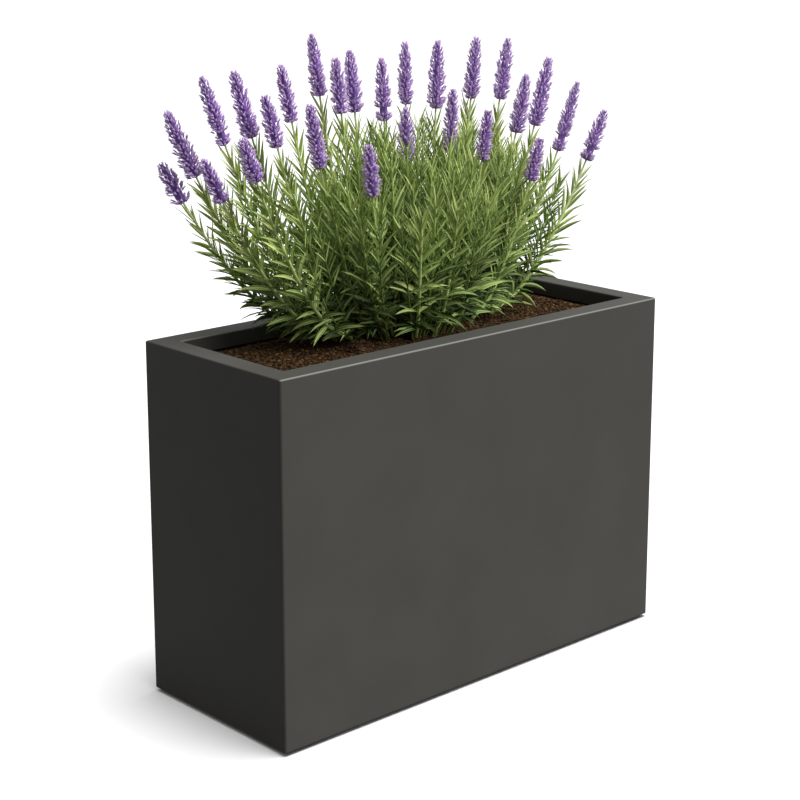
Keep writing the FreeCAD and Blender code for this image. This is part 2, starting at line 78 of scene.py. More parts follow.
# Light: soft suns by azimuth, elevation, strength and softness in degrees, and an even sky.
# The key and the fill light the object alone, the fill through the floor from behind and below.
# The floor has a high sun and a wide light from above of its own.
KEY_SUN = (33.0, 50.0, 4.8, 54.0)
FILL_SUN = (160.0, -40.0, 1.8, 30.0)
FLOOR_SUN = (34.0, 79.0, 3.2, 24.0)
FLOOR_DOME = (0.0, 90.0, 1.4, 100.0)
SKY_STRENGTH = 0.22
FLOOR_REACH = 60.0
FLOOR_SHOWN = 0.8
FLOOR_BOUNCE = 0.03

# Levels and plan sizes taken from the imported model, and the width of the planter's rim
SOIL_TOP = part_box("woody_crown_middle")[0].z
SHELL_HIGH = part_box("planter_shell")[1]
ROW_HALF_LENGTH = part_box("woody_crown_right")[1].x
ROW_HALF_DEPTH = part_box("woody_crown_middle")[1].y
RIM_WIDTH = 0.048

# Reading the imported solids: corners weld within a distance, levels and feet are compared to these decimals,
# and two solids of one stalk meet where their ends are this near
CORNER_WELD = 1e-5
LEVEL_DECIMALS = 4
FOOT_DECIMALS = 6
JOINT_REACH = 0.001

# Range of the values kept at points, and angles in degrees above which edges stay sharp
POINT_VALUES = (0.02, 0.98)
PILE_SHARP = 50.0
CROWN_SHARP = 60.0
FLEECE_SHARP = 40.0

# Leaves, from the foot of a shoot to its top: share of the way, length, width, angle from the stem,
# further bend, sag, and the way to the next pair
LEAF_SHARES = (0.0, 0.12, 0.35, 0.7, 1.0)
LEAF_LENGTHS = (0.044, 0.060, 0.066, 0.060, 0.046)
LEAF_WIDTHS = (0.0066, 0.0082, 0.0086, 0.0064, 0.0042)
LEAF_ANGLES = (38.0, 38.0, 34.0, 26.0, 15.0)
LEAF_BENDS = (76.0, 66.0, 40.0, 16.0, 6.0)
LEAF_SAGS = (0.7, 0.55, 0.25, 0.0, 0.0)
LEAF_STEPS = (0.023, 0.021, 0.020, 0.014, 0.009)

# Where leaves start on a stem, and how far they run on past the leafy part of a flower stalk
LEAF_START = 0.045
LEAF_START_RANGE = (0.8, 1.4)
LEAF_RUN_ON = 0.012

# How single leaves differ: in size, roll, turn about the stem, angle, bend, sag and way to the next pair
LEAF_SCATTER = 0.15
LEAF_ROLL = 0.25
LEAF_TURN = 0.2
LEAF_ANGLE_SCATTER = 1.5 * LEAF_SCATTER
LEAF_BEND_RANGE = (0.6, 1.3)
LEAF_BEND_SCATTER = 4.0
LEAF_SAG_RANGE = (0.4, 1.2)
LEAF_STEP_SCATTER = 0.15

# A leaf's tip: its paleness, and how much lighter it is than the foot
LEAF_TIP_GRADE = 0.5
LEAF_TIP_LIGHTER = 0.1

# Leaves near the soil: their tips stay this far above it, eased by these factors in a few tries
TIP_CLEARANCE = 0.014
SOIL_CLEARANCE = 0.0015
EASE_TRIES = 5
EASE_LEAN = 0.75
EASE_ARCH = 0.6

# Leading shoots, which have the broad leaves: the flower stalks, and shoots this far out in the clump and
# this far from each other
LEADER_OUTER = 0.78
LEADER_SPACING = 0.042
FILLER_LEAF_WIDTH = 0.75

# Leaf pairs swing to either side of a plane that faces the front left, by azimuth from the front, and their
# blades twist towards it, all in degrees. Shoots this far back in the clump face the other way, and one in
# its very middle counts as a little way back.
LEAF_FACING = -38.0
LEAF_FACING_SCATTER = 18.0
LEAF_SWING = 24.0
LEAF_TWIST = 55.0
BACK_SHARE = 0.3
MIDDLE_NUDGE = (0.0, 0.001, 0.0)

# Shade of the leaves, from the foot of a shoot to its top, on leading shoots and on those between them. This
# is
# painted shade and light: leaves are darkest low in the clump and on the fillers between the leading shoots,
# and lightest at the top, where the light falls. The scatter is their own differing tone.
SHADE_SHARES = (0.0, 0.25, 0.6, 1.0)
LEADER_SHADES = (0.06, 0.57, 0.76, 0.84)
FILLER_SHADES = (0.0, 0.06, 0.42, 0.74)
SHADE_SCATTER = 0.18

# Small leaves in the axils of the large ones
AXIL_CHANCE = 0.35
AXIL_SIZE = 0.55
AXIL_ANGLE = 18.0
AXIL_ANGLE_SCATTER = 0.4
AXIL_TURN = 0.6
AXIL_STRAIGHTER = 3.0
AXIL_DARKER = 0.05

# Slighter shoots with narrow leaves, which rise on the inner side of each stem, fewer beside a flower stalk
BESIDE_COUNT = 4
BESIDE_STALK_COUNT = 3
BESIDE_FAN = 60.0
BESIDE_FAN_SCATTER = 15.0
BESIDE_REACH = (0.62, 1.08)
BESIDE_START = 0.006
BESIDE_LEAN = (0.03, 0.19)
BESIDE_POINTS = 6
BESIDE_LEAF_LENGTH = 0.8
BESIDE_LEAF_WIDTH = 0.6
# Painted shade: the slighter shoots' leaves and stems are darker, for the shade inside the clump
BESIDE_DARKER = 0.06
BESIDE_RADIUS = (0.0022, 0.0010)
BESIDE_SIDES = 5
BESIDE_STEM_SHADE = 0.06

# Shade of a stem's top, on leading shoots and on those between them: the fillers' stems stay darker, as
# painted shade inside the clump
LEADER_STEM_SHADE = 1.0
FILLER_STEM_SHADE = 0.1

# Stems, slighter below the full length, and drawn in to the middle of the row on the soil
STEM_RADIUS = (0.0048, 0.0021)
STEM_SLIGHTEST = 0.6
STEM_FULL_LENGTH = 0.5
STEM_DRAWN_IN = (0.97, 0.94)
STEM_SIDES = 7
STEM_RING_SPACING = 0.022
STEM_RINGS_LEAST = 4

# Flower spikes: share of the way up and reach of the florets there
SPIKE_SHARES = (0.0, 0.08, 0.25, 0.5, 0.75, 0.92, 1.0)
SPIKE_REACH = (0.0152, 0.0182, 0.0180, 0.0164, 0.0132, 0.0088, 0.0046)
SPIKE_FATNESS = (0.9, 1.08)
SPIKE_TIP = 0.004
SPIKE_ROOT = 0.0012
WHORL_PITCH = 0.024
WHORL_DEPTH = 0.12

# Some spikes are bare above their lowest whorl, between these shares of the way up
LOOSE_WHORL_CHANCE = 0.3
LOOSE_WHORL_FROM = 0.12
LOOSE_WHORL_TO = 0.2

# Core of a spike: its thickness in shares of the florets' reach, and the share of the way at which it ends
SPIKE_CORE = 0.46
CORE_STOP = 0.97
CORE_RINGS = 8
CORE_SIDES = 7
# Painted shade: the core keeps the dark calyx colour in low tints, for the shade deep in the spike
CORE_SHADES = (0.1, 0.2)
CORE_PALEST = 0.2

# Florets, from the foot of a spike to its top: share of the way, length, and lean in degrees
FLORET_SHARES = (0.0, 0.5, 1.0)
FLORET_LENGTHS = (0.0125, 0.0120, 0.0085)
FLORET_LEANS = (56.0, 44.0, 14.0)
FLORET_WIDTH = 0.0034
FLORET_PITCH = 0.0052
FLORETS_ROUND = 11
FLORETS_LEAST = 4
FLORETS_FEWER = 0.5
FLORET_LIP_LIGHTER = 0.05

# How single florets and their rings differ
FLORET_LENGTH_SCATTER = 0.22
FLORET_LEAN_SCATTER = 0.3
FLORET_REACH_SCATTER = 0.1
FLORET_PITCH_SCATTER = 0.1
FLORET_TURN = 0.12
FLORET_RING_TURN = 0.1

# One floret at unit length and half width: rings of the calyx by height, radius and grade, and corners of a
# petal by turn in radians, reach, height and grade, with the tip last
CALYX_SIDES = 5
CALYX_RINGS = ((0.0, 0.4, 0.0), (0.3, 1.0, 0.25), (0.66, 0.85, 0.5))
PETAL_COUNT = 4
PETAL_CORNERS = (
    (-0.5, 0.75, 0.62, 0.6), (0.5, 0.75, 0.62, 0.6), (0.0, 0.1, 0.72, 0.5), (0.0, 1.55, 1.0, 1.0),
)

# Woody crowns: cells of the upper side, knots by height and by spread in square metres, the share of the
# height that stays between them, and how sharply the rim falls off
CROWN_COLUMNS = 36
CROWN_ROWS = 40
CROWN_LOWEST = 0.45
CROWN_RIM_POWER = 6
KNOT_COUNT = 26
KNOT_HEIGHTS = (0.3, 1.0)
KNOT_SPREAD = 0.00016

# Filter fleece: its bend at the walls and its waves, and its rows of points on the bed, round the bend and
# up the walls
FLEECE_THICKNESS = 0.0016
FLEECE_BEND = 0.008
FLEECE_CORNER = 0.03
FLEECE_WAVE = 0.0016
FLEECE_WAVES = 4
FLEECE_WAVE_COUNTS = (9, 40)
FLEECE_EDGE_DROP = 0.006
FLEECE_POINTS = 240
FLEECE_BED_SHARES = (0.2, 0.4, 0.6, 0.8)
FLEECE_BEND_ROWS = 4
FLEECE_WALL_SHARES = (0.25, 0.5, 0.75, 1.0)

# Soil crumbs: unevenness, depth and height in shares of the width, lift in radii, and the two powers that
# spread their shades
CRUMB_SPACING = 0.0064
CRUMB_RADIUS = (0.0022, 0.0046)
CRUMB_UNEVENNESS = (0.72, 1.2)
CRUMB_DEPTH = (0.65, 1.0)
CRUMB_HEIGHT = (0.5, 0.8)
CRUMB_LIFT = (-0.1, 0.4)
CRUMB_SHADES = (2.0, 2.2)
# Painted light: each crumb's top is lighter than its underside by this much
CRUMB_TOP_LIGHTER = 0.06
MOUTH_MARGIN = 0.004


# Colour and materials

def srgb(red, green, blue):
    """Linear colour from the 0 to 255 values seen on a screen."""
    linear = []
    for value in (red, green, blue):
        share = value / 255
        linear.append(share / 12.92 if share <= 0.04045 else ((share + 0.055) / 1.055) ** 2.4)
    return (*linear, 1.0)


class Finish:
    """A material and a short way to write its nodes. Most of a noise lies between its low and its high."""

    NOISE_LOW = 0.3
    NOISE_HIGH = 0.7

    def __init__(self, name):
        self.material = bpy.data.materials.new(name)
        self.material.use_nodes = True
        self.tree = self.material.node_tree
        self.shader = self.tree.nodes["Principled BSDF"]

    def add(self, kind, inputs=(), **settings):
        """New node with its settings, and its inputs set to values or linked to sockets."""
        node = self.tree.nodes.new("ShaderNode" + kind)
        for name, value in settings.items():
            setattr(node, name, value)
        for name, value in dict(inputs).items():
            self.put(node.inputs[name], value)
        return node

    def put(self, socket, value):
        """Sets a socket, or links it."""
        if isinstance(value, bpy.types.NodeSocket):
            self.tree.links.new(value, socket)
        else:
            socket.default_value = value

    def place(self):
        """Place on the surface in metres."""
        return self.add("TexCoord").outputs["Object"]

    def value(self, name):
        """A value kept at the mesh's points."""
        return self.add("Attribute", attribute_name=name).outputs["Fac"]

    def noise(self, scale, detail=2.0, place=None):
        """Soft noise with about this many grains in a metre."""
        inputs = {"Vector": place or self.place(), "Scale": scale, "Detail": detail}
        return self.add("TexNoise", inputs).outputs["Fac"]

    def stretched(self, scale):
        """Place scaled differently along each axis."""
        return self.add("Mapping", {"Vector": self.place(), "Scale": scale}).outputs["Vector"]

    def ramp(self, factor, stops):
        """Colour that runs through stops of (place, colour)."""
        node = self.add("ValToRGB", {"Fac": factor})
        elements = node.color_ramp.elements
        for element, (place, colour) in zip(elements, (stops[0], stops[-1])):
            element.position = place
            element.color = colour
        for place, colour in stops[1:-1]:
            elements.new(place).color = colour
        return node.outputs["Color"]

    def blend(self, factor, first, second, mode="MIX"):
        """Two colours mixed."""
        node = self.add("Mix", data_type="RGBA", blend_type=mode)
        for name, value in (("Factor", factor), ("A", first), ("B", second)):
            kind = "VALUE" if name == "Factor" else "RGBA"
            self.put(next(s for s in node.inputs if s.name == name and s.type == kind), value)
        return next(s for s in node.outputs if s.type == "RGBA")

    def maths(self, operation, first, second=0.0):
        """One sum on two values, kept between 0 and 1."""
        node = self.add("Math", operation=operation, use_clamp=True)
        self.put(node.inputs[0], first)
        self.put(node.inputs[1], second)
        return node.outputs["Value"]

    def between(self, factor, low, high):
        """Value that runs from low to high as the factor runs over its middle."""
        span = {"From Min": self.NOISE_LOW, "From Max": self.NOISE_HIGH, "To Min": low, "To Max": high}
        return self.add("MapRange", {"Value": factor, **span}).outputs["Result"]

    def bump(self, height, strength, distance):
        """Relief from a height value."""
        inputs = {"Height": height, "Strength": strength, "Distance": distance}
        return self.add("Bump", inputs).outputs["Normal"]

    def finish(self, colour, grain, rough, relief, shine=0.5, **plain):
        """Puts colour and shine on the shader, and plain values on its other sockets.

        The grain runs the roughness between two values, and gives a relief of some strength and height.
        """
        inputs = self.shader.inputs
        self.put(inputs["Base Color"], colour)
        self.put(inputs["Roughness"], self.between(grain, *rough))
        self.put(inputs["Normal"], self.bump(grain, *relief))
        self.put(inputs["Specular IOR Level"], shine)
        for name, value in plain.items():
            self.put(inputs[name.replace("_", " ")], value)
        return self.material


def polyester():
    """Matte anthracite gel coat: fine grain, faint clouding and a painted highlight where its front edge
    turns.
    """
    coat = Finish("polyester")
    grain = coat.noise(1100.0, 3.0)
    cloud = coat.noise(5.0, 3.0)
    colour = coat.ramp(cloud, [(0.3, srgb(67, 66, 62)), (0.7, srgb(72, 71, 67))])
    # Painted highlight: where the normal turns from the front to the top, the upper front edge is lightened
    # as if it caught the light
    normal = coat.add("NewGeometry").outputs["Normal"]
    facing = coat.add("SeparateXYZ", {"Vector": normal}).outputs
    forward = coat.maths("MULTIPLY", facing["Y"], -1.0)
    painted_highlight = coat.maths("MULTIPLY", facing["Z"], forward)
    edge = coat.maths("MULTIPLY", painted_highlight, 2.0)
    colour = coat.blend(edge, colour, srgb(126, 126, 122))
    return coat.finish(colour, grain, rough=(0.58, 0.7), relief=(0.22, 0.0005), shine=0.1)


def leaf_finish():
    """Grey-green leaf, paler on its midrib and edges, darkened by the painted shade kept at its points."""
    leaf = Finish("leaf")
    blade = [
        (0.0, srgb(17, 31, 8)),
        (0.35, srgb(70, 105, 32)),
        (0.65, srgb(118, 149, 57)),
        (1.0, srgb(186, 198, 118)),
    ]
    pale = [(0.0, srgb(54, 76, 30)), (0.45, srgb(212, 226, 154))]
    shade = leaf.value("shade")
    paleness = leaf.maths("POWER", leaf.value("grade"), 2.0)
    colour = leaf.blend(paleness, leaf.ramp(shade, blade), leaf.ramp(shade, pale))
    veins = leaf.noise(900.0)
    return leaf.finish(colour, veins, rough=(0.5, 0.64), relief=(0.2, 0.0004), shine=0.12)


def stem_finish():
    """Stem, brown and woody at its foot and pale green above."""
    stem = Finish("stem")
    stops = [
        (0.0, srgb(70, 70, 38)),
        (0.04, srgb(112, 132, 64)),
        (0.1, srgb(188, 212, 126)),
        (1.0, srgb(204, 220, 150)),
    ]
    colour = stem.ramp(stem.value("shade"), stops)
    fibre = stem.noise(1.0, 2.0, stem.stretched((900.0, 900.0, 60.0)))
    return stem.finish(colour, fibre, rough=(0.5, 0.66), relief=(0.25, 0.0004), shine=0.15)


def floret_finish():
    """Floret, from its dark calyx to the pale lip of its petals, with near-white tips that are partly a
    painted highlight.
    """
    floret = Finish("floret")
    # The near-white stops at the tips are partly a painted highlight, on the pale lip colour of the petals
    stops = [
        (0.0, srgb(109, 78, 153)),
        (0.35, srgb(230, 190, 254)),
        (0.7, srgb(250, 234, 255)),
        (1.0, srgb(255, 250, 255)),
    ]
    tints = [(0.0, (0.76, 0.74, 0.80, 1.0)), (0.8, (1.0, 1.0, 1.0, 1.0))]
    colour = floret.ramp(floret.value("grade"), stops)
    tint = floret.ramp(floret.value("shade"), tints)
    colour = floret.blend(1.0, colour, tint, "MULTIPLY")
    fuzz = floret.noise(1500.0)
    return floret.finish(colour, fuzz, rough=(0.62, 0.8), relief=(0.2, 0.0003), shine=0.2)


def soil_finish():
    """Brown potting soil in crumbs of differing shade, with the top of each crumb painted lighter."""
    soil = Finish("soil")
    stops = [
        (0.0, srgb(30, 20, 11)),
        (0.45, srgb(60, 43, 26)),
        (0.8, srgb(90, 67, 42)),
        (1.0, srgb(122, 96, 66)),
    ]
    grain = soil.noise(420.0, 4.0)
    colour = soil.ramp(soil.value("shade"), stops)
    colour = soil.blend(soil.between(grain, 0.0, 0.5), colour, srgb(42, 30, 18))
    return soil.finish(colour, grain, rough=(0.8, 0.95), relief=(0.6, 0.0015), shine=0.05)


def moulded_finish(name, low, high, rough):
    """Moulded nylon or rubber: dark, with a fine grain."""
    moulded = Finish(name)
    grain = moulded.noise(1600.0)
    cloud = moulded.noise(40.0, 3.0)
    colour = moulded.ramp(cloud, [(0.3, low), (0.7, high)])
    return moulded.finish(colour, grain, rough, relief=(0.2, 0.0003), shine=0.35)


def plywood_finish():
    """Birch plywood: long grain on the faces, veneers in layers on the edges."""
    board = Finish("plywood")
    grain = board.noise(1.0, 4.0, board.stretched((12.0, 220.0, 40.0)))
    face = board.ramp(grain, [(0.3, srgb(176, 140, 98)), (0.7, srgb(206, 174, 130))])
    veneers = board.add("TexWave", {"Scale": 120.0, "Distortion": 0.4}, bands_direction="Z")
    layers = board.maths("MULTIPLY", veneers.outputs["Fac"], 0.4)
    colour = board.blend(layers, face, srgb(120, 86, 56))
    return board.finish(colour, grain, rough=(0.6, 0.75), relief=(0.2, 0.0006), shine=0.25)


def clay_finish():
    """Expanded clay pellets, each a rounded cell of its own shade."""
    clay = Finish("clay_pellets")
    stops = [(0.1, srgb(122, 72, 48)), (0.5, srgb(158, 98, 66)), (0.9, srgb(186, 132, 96))]
    cells = clay.add("TexVoronoi", {"Vector": clay.place(), "Scale": 85.0})
    colour = clay.ramp(cells.outputs["Color"], stops)
    dome = clay.maths("SUBTRACT", 1.0, cells.outputs["Distance"])
    return clay.finish(colour, dome, rough=(0.8, 0.9), relief=(1.0, 0.006), shine=0.15)


def grained_finish(name, stretch, detail, stops, **finish):
    """Finish in which colour, roughness and relief all follow one grain, with so many in a metre by axis."""
    grained = Finish(name)
    grain = grained.noise(1.0, detail, grained.stretched(stretch))
    return grained.finish(grained.ramp(grain, stops), grain, **finish)


# Lines and meshes

class Line:
    """Smooth line through points, read by distance along it."""

    STEPS = 12
    WAY_SHARE = 0.01

    def __init__(self, points):
        known = np.array(points, float)
        padded = np.vstack([2 * known[0] - known[1], known, 2 * known[-1] - known[-2]])
        fine = []
        for before, start, end, after in zip(padded, padded[1:], padded[2:], padded[3:]):
            for t in np.linspace(0, 1, self.STEPS, endpoint=False):
                square = (2 * before - 5 * start + 4 * end - after) * t ** 2
                cube = (3 * start - before - 3 * end + after) * t ** 3
                fine.append((2 * start + (end - before) * t + square + cube) / 2)
        self.points = np.array(fine + [known[-1]])
        steps = np.linalg.norm(np.diff(self.points, axis=0), axis=1)
        self.distances = np.concatenate([[0.0], np.cumsum(steps)])
        self.length = self.distances[-1]

    def at(self, distance):
        """Point at a distance from the start."""
        return np.array([np.interp(distance, self.distances, self.points[:, k]) for k in range(3)])

    def way(self, distance):
        """Direction of the line at a distance from its start."""
        reach = self.WAY_SHARE * self.length
        ahead = self.at(min(distance + reach, self.length)) - self.at(max(distance - reach, 0.0))
        return ahead / np.linalg.norm(ahead)


def unit(vector):
    """Vector of length one."""
    return vector / np.linalg.norm(vector)


def across(way, turn):
    """Direction square to a way, turned about it from the way's own side direction."""
    along_x = abs(way[0]) >= 0.9
    helper = np.array([0.0, 1.0, 0.0] if along_x else [1.0, 0.0, 0.0])
    first = unit(np.cross(way, helper))
    second = np.cross(way, first)
    return math.cos(turn) * first + math.sin(turn) * second


def toward(azimuth, elevation):
    """Direction from the object, by azimuth from the front and elevation in degrees."""
    turn = math.radians(azimuth)
    rise = math.radians(elevation)
    return Vector((math.sin(turn) * math.cos(rise), -math.cos(turn) * math.cos(rise), math.sin(rise)))


def scattered(draw, share):
    """Factor that differs from one by up to a share."""
    return draw.uniform(1 - share, 1 + share)


def smoothed(mesh, sharp):
    """Gives a mesh smooth shading, with edges left sharp above an angle in degrees."""
    mesh.shade_smooth()
    mesh.set_sharp_from_angle(angle=math.radians(sharp))


def bands(sides, rings):
    """Faces between rings of points that follow each other."""
    faces = []
    for low in range(0, sides * (rings - 1), sides):
        for k in range(sides):
            after = (k + 1) % sides
            faces.append((low + k, low + after, low + sides + after, low + sides + k))
    return faces


class Pile:
    """Many small closed forms in one mesh, with a shade and a grade from 0 to 1 at each point."""

    def __init__(self):
        self.points = []
        self.faces = []
        self.shades = []
        self.grades = []
        self.count = 0

    def add(self, points, faces, shades, grades):
        self.points.append(points)
        self.shades.append(np.broadcast_to(shades, len(points)))
        self.grades.append(np.broadcast_to(grades, len(points)))
        self.faces.extend(tuple(k + self.count for k in face) for face in faces)
        self.count += len(points)

    def tube(self, line, radii, sides, shades, stop=None, palest=1.0):
        """Closed tube along a line. The radii and shades run evenly from the line's start to the stop."""
        stop = line.length if stop is None else stop
        rings = []
        for radius, distance in zip(radii, np.linspace(0.0, stop, len(radii))):
            centre = line.at(distance)
            way = line.way(distance)
            turns = [2 * math.pi * k / sides for k in range(sides)]
            rings.append([centre + radius * across(way, turn) for turn in turns])
        faces = [tuple(range(sides))]
        faces += [(a, d, c, b) for a, b, c, d in bands(sides, len(rings))]
        last = (len(rings) - 1) * sides
        faces.append(tuple(reversed(range(last, last + sides))))
        grades = np.tile(palest * np.abs(np.linspace(-1, 1, sides)), len(rings))
        self.add(np.array(rings).reshape(-1, 3), faces, np.repeat(shades, sides), grades)

    def piece(self, name, material, slot, *nodes):
        """The whole pile as one piece of the object."""
        mesh = bpy.data.meshes.new(name)
        mesh.from_pydata(np.vstack(self.points).tolist(), [], self.faces)
        shades = np.clip(np.concatenate(self.shades), *POINT_VALUES)
        grades = np.clip(np.concatenate(self.grades), *POINT_VALUES)
        for key, values in (("shade", shades), ("grade", grades)):
            mesh.attributes.new(key, "FLOAT", "POINT").data.foreach_set("value", values.astype(np.float32))
        corners = np.empty(len(mesh.loops), np.int32)
        mesh.loops.foreach_get("vertex_index", corners)
        palette = np.stack([shades[corners], grades[corners]], axis=1).astype(np.float32)
        mesh.uv_layers.new(name="OFBake").data.foreach_set("uv", palette.ravel())
        smoothed(mesh, PILE_SHARP)
        return dressed(mesh, material, slot, *nodes)


def placed(name, data):
    """New object in the scene."""
    item = bpy.data.objects.new(name, data)
    bpy.context.scene.collection.objects.link(item)
    return item


def dressed(mesh, material, slot, *nodes):
    """Puts a mesh into the scene as a piece on the planter, in place of the named nodes."""
    piece = placed(mesh.name, mesh)
    mesh.materials.append(material)
    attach(piece, BODY)
    if nodes:
        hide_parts(*nodes)
    return piece


def islands(mesh):
    """Groups of a mesh's corners that hang together, each in the mesh's own order."""
    waiting = set(mesh.verts)
    while waiting:
        found = {min(waiting, key=lambda v: v.index)}
        edge = set(found)
        while edge:
            edge = {e.other_vert(v) for v in edge for e in v.link_edges} - found
            found |= edge
        waiting -= found
        yield sorted(found, key=lambda v: v.index)


def solid_axes(node):
    """Middle lines of a node's separate solids, from the centres of their level rings of corners.

    They come from left to right, and from back to front where they are level.
    """
    mesh = bmesh.new()
    mesh.from_mesh(frame["nodes"][node].data)
    bmesh.ops.remove_doubles(mesh, verts=mesh.verts, dist=CORNER_WELD)
    mesh.verts.index_update()
    axes = []
    for island in islands(mesh):
        levels = {}
        for vertex in island:
            levels.setdefault(round(vertex.co.z, LEVEL_DECIMALS), []).append(vertex.co)
        axes.append([sum(ring, Vector()) / len(ring) for level, ring in sorted(levels.items())])
    mesh.free()
    return sorted(axes, key=lambda axis: (round(axis[0].x, FOOT_DECIMALS), -axis[0].y))


def starting_at(point, axes):
    """The axis that has its foot at a point, or None."""
    return next((axis for axis in axes if (axis[0] - point).length < JOINT_REACH), None)


# Lavender

class LeafForm:
    """Lance-shaped leaf, hollowed along its midrib and arching away from its stem."""

    def __init__(self, stations, outline, section):
        """Stations are shares of the length, and the outline has the share of the full width at each.

        The section runs over the leaf and back under it, by half widths across, rise and paleness.
        """
        self.stations = np.array(stations)
        self.outline = np.array(outline)
        self.across, self.rise, self.pale = np.array(section).T
        count = len(section)
        last = count * (len(stations) - 1)
        self.faces = [tuple(reversed(range(count)))] + bands(count, len(stations))
        self.faces += [(last + k, last + (k + 1) % count, last + count) for k in range(count)]

    def grow(self, pile, foot, way, out, length, width, angle, bend, roll, shade):
        """Adds one leaf to a pile."""
        stations = np.append(self.stations, 1.0)
        turns = np.radians(angle + bend * stations)
        ways = np.cos(turns)[:, None] * way + np.sin(turns)[:, None] * out
        steps = np.diff(stations)[:, None] * length * (ways[:-1] + ways[1:]) / 2
        middle = foot + np.vstack([np.zeros(3), np.cumsum(steps, axis=0)])
        face = (np.sin(turns)[:, None] * way - np.cos(turns)[:, None] * out)[:-1]
        level = np.cross(way, out)
        side = math.cos(roll) * level + math.sin(roll) * face
        upper = math.cos(roll) * face - math.sin(roll) * level
        half = (self.outline * width / 2)[:, None, None]
        sections = self.across[:, None] * side[:, None] + self.rise[:, None] * upper[:, None]
        points = np.vstack([(middle[:-1, None] + half * sections).reshape(-1, 3), middle[-1:]])
        points[:, 2] = np.maximum(points[:, 2], SOIL_TOP + SOIL_CLEARANCE)
        shades = shade + LEAF_TIP_LIGHTER * np.append(np.repeat(self.stations, len(self.across)), 1.0)
        grades = np.append(np.tile(self.pale, len(self.stations)), LEAF_TIP_GRADE)
        pile.add(points, self.faces, shades, grades)


BROAD_LEAF = LeafForm(
    stations=(0.0, 0.13, 0.32, 0.56, 0.8),
    outline=(0.26, 0.68, 1.0, 0.9, 0.52),
    section=[
        (1.0, 0.4, 0.9), (0.5, 0.16, 0.0), (0.0, 0.0, 1.0),
        (-0.5, 0.16, 0.0), (-1.0, 0.4, 0.9), (0.0, -0.16, 0.3),
    ],
)
NARROW_LEAF = LeafForm(
    stations=(0.0, 0.3, 0.7),
    outline=(0.4, 1.0, 0.72),
    section=[(1.0, 0.4, 0.2), (0.0, 0.0, 0.9), (-1.0, 0.4, 0.2), (0.0, -0.2, 0.2)],
)


def off_the_soil(foot, way, out, length, lean, arch):
    """Lean and arch of a leaf, eased until its tip stays clear of the soil."""
    for _ in range(EASE_TRIES):
        turn = math.radians(lean + arch / 2)
        tip = foot[2] + length * (math.cos(turn) * way[2] + math.sin(turn) * out[2])
        if tip > SOIL_TOP + TIP_CLEARANCE:
            break
        lean *= EASE_LEAN
        arch *= EASE_ARCH
    return lean, arch


def in_clump(foot):
    """Place of a foot in the row of plants, in shares of the row's half sizes."""
    return np.array([foot.x / ROW_HALF_LENGTH, foot.y / ROW_HALF_DEPTH, 0.0])


def leading_feet(axes, stalk_feet):
    """Feet of the leading shoots: the flower stalks, then well-spaced outer shoots from the front on."""
    chosen = list(stalk_feet)
    for foot in sorted((axis[0] for axis in axes), key=lambda foot: foot.y):
        outside = np.linalg.norm(in_clump(foot)) > LEADER_OUTER
        if outside and all((foot - other).length > LEADER_SPACING for other in chosen):
            chosen.append(foot)
    return chosen


def ring_count(line):
    """Number of rings in a stem along a line."""
    return max(STEM_RINGS_LEAST, round(line.length / STEM_RING_SPACING))


class Axil:
    """Place on a stem where a leaf pair sits, with the stem's way there and two directions square to it."""

    def __init__(self, line, distance, facing):
        self.foot = line.at(distance)
        self.way = line.way(distance)
        self.level = unit(np.cross(self.way, facing))
        self.ahead = np.cross(self.level, self.way)

    def out(self, turn):
        """Direction square to the stem, turned from the level one towards the one ahead."""
        return math.cos(turn) * self.level + math.sin(turn) * self.ahead


